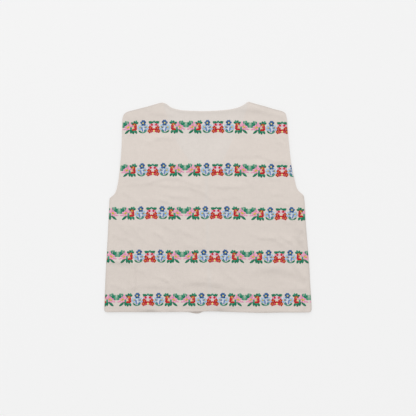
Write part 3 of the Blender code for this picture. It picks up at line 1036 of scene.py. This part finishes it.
class Recipe:
    def __init__(self, name):
        self.material = bpy.data.materials.new(name)
        self.material.use_nodes = True
        self.tree = self.material.node_tree
        self.shader = self.tree.nodes["Principled BSDF"]

    def feed(self, socket, value):
        if isinstance(value, Signal):
            self.tree.links.new(value.socket, socket)
        else:
            socket.default_value = value

    def add(self, kind, settings=None, sockets=None, output=0):
        node = self.tree.nodes.new("ShaderNode" + kind)
        for key, value in (settings or {}).items():
            setattr(node, key, value)
        for key, value in (sockets or {}).items():
            self.feed(node.inputs[key], value)
        return Signal(self, node.outputs[output])

    def mixed(self, way, factor, first, second):
        settings = {"data_type": "RGBA", "blend_type": way}
        return self.add("Mix", settings, {0: factor, 6: first, 7: second}, output=2)

    def tinted(self, colour, factor):
        # a colour made lighter or darker by a factor
        grey = self.add("CombineColor", {}, {0: factor, 1: factor, 2: factor})
        return self.mixed("MULTIPLY", 1.0, colour, grey)

    def parts(self, vector):
        # its x and y
        first = self.add("SeparateXYZ", {}, {0: vector})
        return first, Signal(self, first.socket.node.outputs[1])

    def uneven(self, place, often, seed):
        # soft noise about 0, which repeats so often along each axis
        stretched = self.add("VectorMath", {"operation": "MULTIPLY"}, {0: place, 1: often})
        moved = self.add("VectorMath", {"operation": "ADD"}, {0: stretched, 1: (seed, seed, seed)})
        return self.add("TexNoise", {}, {"Vector": moved, "Scale": 1.0, "Detail": 2.0}) - 0.5

    def bumped(self, strength, depth, height):
        return self.add("Bump", {}, {"Strength": strength, "Distance": depth, "Height": height})

    def set(self, **sockets):
        for key, value in sockets.items():
            self.feed(self.shader.inputs[key.replace("_", " ")], value)


clothFinish = {
    "colour": (0.676, 0.610, 0.560),
    # next, the painted see-through colour, where only the table lies below the back
    "seeThroughColour": (0.6665, 0.614, 0.572),
    "roughness": 0.92,
    "sheen": 0.15,
    "specular": 0.25,
    "pitch": 0.0011,  # two threads of the plain weave, in metres
    "weaveDepth": 0.00006,
    "weaveBump": 0.5,
    "weaveRelief": 0.5,
    "brightness": 0.985,
    # painted shade: how much darker the hollows of the weave are
    "weave": 0.03,
    # for each metre, how often the unevenness of warp, weft and cloth repeats; its seed; how dark it is
    "warp": ((600.0, 60.0, 1.0), 3.0, 0.044),
    "weft": ((60.0, 600.0, 1.0), 7.0, 0.044),
    "mottle": ((150.0, 150.0, 1.0), 11.0, 0.07),
    "broadAgeing": ((22.0, 26.0, 1.0), 5.0, 0.044),
    # painted shade: the cloth's colour gets darker towards the hem, as the light falls off there
    "neckToHemShade": 0.16,  # how much darker it gets from neck to hem, for each metre
}


def clothMaterial(name, colour, seeThroughColour=None):
    recipe = Recipe(name)
    place = recipe.add("TexCoord", output=3)
    x, y = recipe.parts(place)
    pitch = clothFinish["pitch"]
    # the weave's pattern feeds the bump, and the colour too as painted shade in its hollows
    weave = x.wave(pitch) * y.wave(pitch)

    # the term along y is painted shade, darker towards the hem
    shade = clothFinish["brightness"] + weave * clothFinish["weave"] + y * clothFinish["neckToHemShade"]
    # the tone attribute is painted shade and light
    shade = shade + recipe.add("Attribute", {"attribute_name": "tone"}, output=2)
    relief = weave * clothFinish["weaveRelief"]
    for kind in ("warp", "weft", "mottle", "broadAgeing"):
        often, seed, dark = clothFinish[kind]
        uneven = recipe.uneven(place, often, seed)
        shade = shade + uneven * dark
        if kind in ("warp", "weft"):
            relief = relief + uneven
    ground = (*colour, 1.0)
    if seeThroughColour:
        # painted light: a cooler colour where the table shows through the thin back
        sunk = recipe.add("Attribute", {"attribute_name": "sunk"}, output=2)
        ground = recipe.mixed("MIX", sunk, ground, (*seeThroughColour, 1.0))
    recipe.set(
        Base_Color=recipe.tinted(ground, shade),
        Roughness=clothFinish["roughness"],
        Sheen_Weight=clothFinish["sheen"],
        Specular_IOR_Level=clothFinish["specular"],
        Normal=recipe.bumped(clothFinish["weaveBump"], clothFinish["weaveDepth"], relief),
    )
    return recipe.material


threadFinish = {
    "roughness": 0.55,
    "sheen": 0.08,
    "specular": 0.22,
    "pitch": 0.45,  # of one thread, in millimetres of the stitch's own map
    "depth": 0.00008,
    "bump": 0.6,
    # painted shade: how much darker the thread's colour gets between the stitches
    "grooveShade": 0.10,
    "slope": 0.8,  # of the threads in a leaf, which meet at its middle
    "streaks": (0.35, 3.0, 1.0),  # how often its shade changes along and across, for each millimetre
    "uneven": 0.25,
}


def threadMaterial():
    recipe = Recipe("embroidery thread")
    grain = recipe.add("UVMap", {"uv_map": "grain"})
    along, across = recipe.parts(grain)
    slant = recipe.add("Attribute", {"attribute_name": "slant"}, output=2)
    slope = threadFinish["slope"]
    count = across + slant * (along * slope + abs(across) * slope - across)
    ridge = count.wave(threadFinish["pitch"])
    colour = recipe.add("Attribute", {"attribute_name": "thread"})
    uneven = recipe.uneven(grain, threadFinish["streaks"], 0.0)
    # the ridge term is painted shade between the stitches; the streaks are random
    shade = 1.0 + ridge * threadFinish["grooveShade"] + uneven * threadFinish["uneven"]
    recipe.set(
        Base_Color=recipe.tinted(colour, shade),
        Roughness=threadFinish["roughness"],
        Sheen_Weight=threadFinish["sheen"],
        Specular_IOR_Level=threadFinish["specular"],
        Normal=recipe.bumped(threadFinish["bump"], threadFinish["depth"], ridge),
    )
    return recipe.material


# build the garment

back, shift, backArea = makeBack()
print("back laid", len(back.data.polygons))
leftFront, leftArea = makeFront("Left", shift)
rightFront, rightArea = makeFront("Right", shift)
fronts = [leftFront, rightFront]
print("fronts laid", [len(item.data.polygons) for item in fronts])

clothTop = clothMaterial("off-white woven cotton", clothFinish["colour"], clothFinish["seeThroughColour"])
clothUnder = clothMaterial("off-white woven cotton, fronts", clothFinish["colour"])
back.data.materials.append(clothTop)
for item in fronts:
    item.data.materials.append(clothUnder)

stitch = modelStitchPad()
thread = threadMaterial()


def embroider(name, panel, left, right, inset, downward, seed):
    # all the bands of one panel, which end a little inside its edges
    ground = groundOf(panel, downward)

    def limits(up):
        return acrossAt(left, up) + inset, acrossAt(right, up) - inset

    bands = []
    for number, band in enumerate(bandRows, start=1):
        item = layBand(f"{name}_embroidery_{number}", stitch, band, limits, ground, downward, seed + number)
        item.data.materials.append(thread)
        bands.append(item)
        print(item.name, "laid", len(item.data.polygons))
    return bands


clear = embroidery["clearOfEdge"]
inset = clear + frontPanels["inset"] + frontPanels["bandInset"]
left, right = outerEdges["Left"], outerEdges["Right"]
backBands = embroider("back", back, left, right, clear, downward=False, seed=0)
frontBands = [
    embroider("front_left", leftFront, left, innerEdges["Left"], inset, downward=True, seed=20),
    embroider("front_right", rightFront, innerEdges["Right"], right, inset, downward=True, seed=20),
]

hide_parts("back")
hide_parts("front_left")
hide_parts("front_right")
for item in [back, *backBands]:
    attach(item, "root")
for item in [*fronts, *frontBands[0], *frontBands[1]]:
    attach(item, "root")

print("flat areas", round(backArea, 4), round(leftArea, 4), round(rightArea, 4))

# floor, light and camera

studio = {
    "floorSize": 9.0,
    "floorLevel": -0.0002,
    "floorColour": (0.34, 0.34, 0.34),
    "floorRoughness": 0.9,
    "floorSpecular": 0.1,
    "floorGlow": 0.54,  # it is lit from below too, so that shadows on it stay faint
    "worldLight": 0.645,
    "sunStrength": 1.35,
    "sunAngle": 100.0,
    "sunTilt": (-44.0, 0.0, 4.0),  # degrees: it comes from the neck side, a little from the left
    "softBox": (-0.3, 0.9, 1.35),  # place of the lamp beyond the neck
    "softBoxSize": 0.9,
    "softBoxPower": 3.0,
    "camera": (0.00013, -0.00112, 2.085),
    "lens": 100.0,
}

white = (1.0, 1.0, 1.0, 1.0)
bpy.ops.object.select_all(action="DESELECT")
bpy.ops.mesh.primitive_plane_add(size=studio["floorSize"], location=(0.0, 0.0, studio["floorLevel"]))
floor = bpy.context.object
floor.name = "studio_floor"
floorRecipe = Recipe("plain pale floor")
floorRecipe.set(
    Base_Color=(*studio["floorColour"], 1.0),
    Roughness=studio["floorRoughness"],
    Specular_IOR_Level=studio["floorSpecular"],
    Emission_Color=white,
    Emission_Strength=studio["floorGlow"],
)
floor.data.materials.append(floorRecipe.material)

scene = bpy.context.scene
scene.world = bpy.data.worlds.new("studio")
scene.world.use_nodes = True
background = scene.world.node_tree.nodes["Background"]
background.inputs["Color"].default_value = white
background.inputs["Strength"].default_value = studio["worldLight"]

lampData = bpy.data.lights.new("soft window light", "SUN")
lampData.energy = studio["sunStrength"]
lampData.angle = math.radians(studio["sunAngle"])
lamp = placed("soft window light", lampData)
lamp.rotation_euler = [math.radians(angle) for angle in studio["sunTilt"]]

boxData = bpy.data.lights.new("soft box", "AREA")
boxData.energy = studio["softBoxPower"]
boxData.size = studio["softBoxSize"]
softBox = placed("soft box", boxData)
softBox.location = studio["softBox"]
softBox.rotation_euler = (-Vector(studio["softBox"])).to_track_quat("-Z", "Y").to_euler()

cameraData = bpy.data.cameras.new("camera")
cameraData.lens = studio["lens"]
scene.camera = placed("camera", cameraData)
scene.camera.location = studio["camera"]
scene.view_settings.view_transform = "Standard"
print("studio set")
